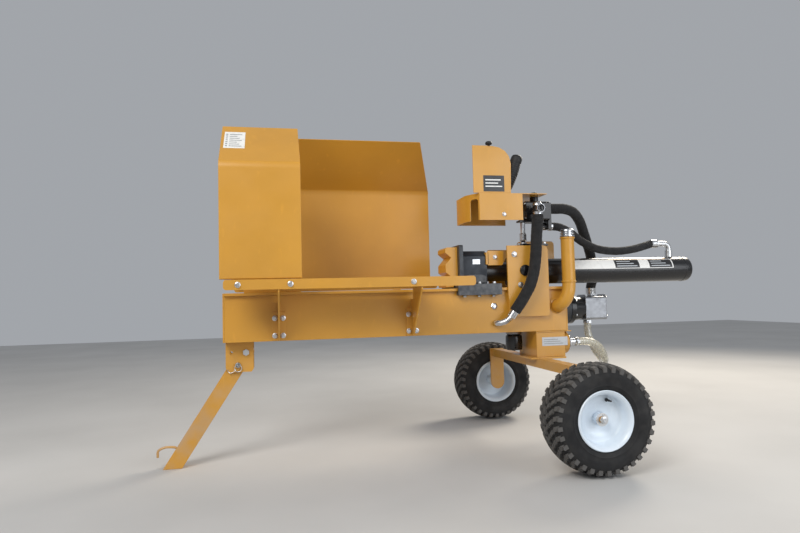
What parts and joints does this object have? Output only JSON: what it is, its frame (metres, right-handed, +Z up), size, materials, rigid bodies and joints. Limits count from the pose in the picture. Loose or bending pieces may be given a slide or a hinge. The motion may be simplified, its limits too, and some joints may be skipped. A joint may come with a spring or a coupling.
{
  "type": "log splitter",
  "caption": "Horizontal hydraulic log splitter: box beam with wedge, ram, hood shields, lever-worked valve, pump and motor, on wheels with a folding front leg.",
  "frame": {"origin": "on the ground, under the middle of the machine's bounding box", "axes": "+X along the beam towards the cap end of the cylinder, +Y towards the side of the motor, +Z up"},
  "size_m": [2.4331, 1.254, 1.374],
  "materials": {
    "paint": "satin powder coat",
    "zinc": "bright zinc plate",
    "chrome": "polished",
    "black_paint": "semi-gloss black enamel",
    "dark_steel": "oiled dark steel",
    "hose": "woven textile sleeve over rubber",
    "clear_hose": "translucent reinforced hose",
    "alloy": "cast aluminium",
    "grip": "moulded rubber",
    "rim": "white enamel",
    "tyre": "dusty tread rubber"
  },
  "bodies": {
    "frame": {"beam_box": "paint", "beam_top_plate": "paint", "front_end_plate": "paint", "rear_end_plate": "paint", "splitting_wedge": "paint", "leg_bracket": "paint", "leg_pivot_bolt": "zinc", "tray_rail_near": "paint", "tray_rail_far": "paint", "tray_bracket_near_front": "paint", "tray_bracket_near_rear": "paint", "tray_bracket_far_front": "paint", "tray_bracket_far_rear": "paint", "mount_plate_near": "paint", "mount_plate_far": "paint", "drop_plate_near": "paint", "drop_plate_far": "paint", "shield_near": "paint", "shield_far": "paint", "trunnion_ring": "black_paint", "cylinder_tube": "black_paint", "cylinder_gland": "black_paint", "cylinder_cap": "black_paint", "valve_stand": "black_paint", "valve_body": "black_paint", "valve_fittings": "black_paint", "control_guard": "paint", "lever_guard": "paint", "hose_return": "hose", "hose_pressure": "hose", "hose_cylinder": "hose", "return_fitting": "chrome", "cap_port_elbow": "zinc", "filler_pipe": "paint", "tank_sump": "paint", "suction_fitting": "chrome", "suction_hose": "clear_hose", "bell_housing": "black_paint", "pump_body": "alloy", "drive_motor": "black_paint", "motor_mount": "paint", "axle_beam": "paint"},
    "ram": {"piston_rod": "chrome", "ram_carriage": "dark_steel", "pusher_plate": "dark_steel", "pusher_head": "paint", "gib_near": "dark_steel", "gib_far": "dark_steel"},
    "leg": {"leg_tube": "paint", "leg_handle": "paint"},
    "lock_pin": {"leg_lock_pin": "zinc"},
    "wheel_near": {"rim_near": "rim", "tyre_near": "tyre"},
    "wheel_far": {"rim_far": "rim", "tyre_far": "tyre"},
    "lever": {"control_lever": "zinc", "lever_grip": "grip"},
    "spool": {"valve_spool": "chrome"},
    "cap": {"filler_cap": "chrome"},
    "shaft": {"drive_shaft": "dark_steel"}
  },
  "joints": [
    {"name": "ram_slide", "type": "slide", "parent": "frame", "child": "ram", "axis": [-1, 0, 0], "range_m": [0, 0.6]},
    {"name": "leg_fold", "type": "hinge", "parent": "frame", "child": "leg", "pos_m": [-0.865, 0, 0.451], "axis": [0, 1, 0], "range_deg": [0, 57]},
    {"name": "lock_pin_pull", "type": "slide", "parent": "frame", "child": "lock_pin", "axis": [0, -1, 0], "range_m": [0, 0.09]},
    {"name": "wheel_near_spin", "type": "hinge", "parent": "frame", "child": "wheel_near", "pos_m": [0.4, -0.549, 0.203], "axis": [0, 1, 0], "continuous": true},
    {"name": "wheel_far_spin", "type": "hinge", "parent": "frame", "child": "wheel_far", "pos_m": [0.4, 0.549, 0.203], "axis": [0, 1, 0], "continuous": true},
    {"name": "lever_swing", "type": "hinge", "parent": "frame", "child": "lever", "pos_m": [0.228, -0.116, 1.06], "axis": [0, 1, 0], "range_deg": [-18, 18]},
    {"name": "spool_slide", "type": "slide", "parent": "frame", "child": "spool", "axis": [1, 0, 0], "range_m": [-0.01, 0.01]},
    {"name": "filler_cap_lift", "type": "slide", "parent": "frame", "child": "cap", "axis": [0, 0, 1], "range_m": [0, 0.07]},
    {"name": "shaft_spin", "type": "hinge", "parent": "frame", "child": "shaft", "pos_m": [0.72, 0.214, 0.584], "axis": [1, 0, 0], "continuous": true}
  ],
  "couplings": [
    {"joint": "spool_slide", "follows": "lever_swing", "m_per_rad": -0.03}
  ]
}
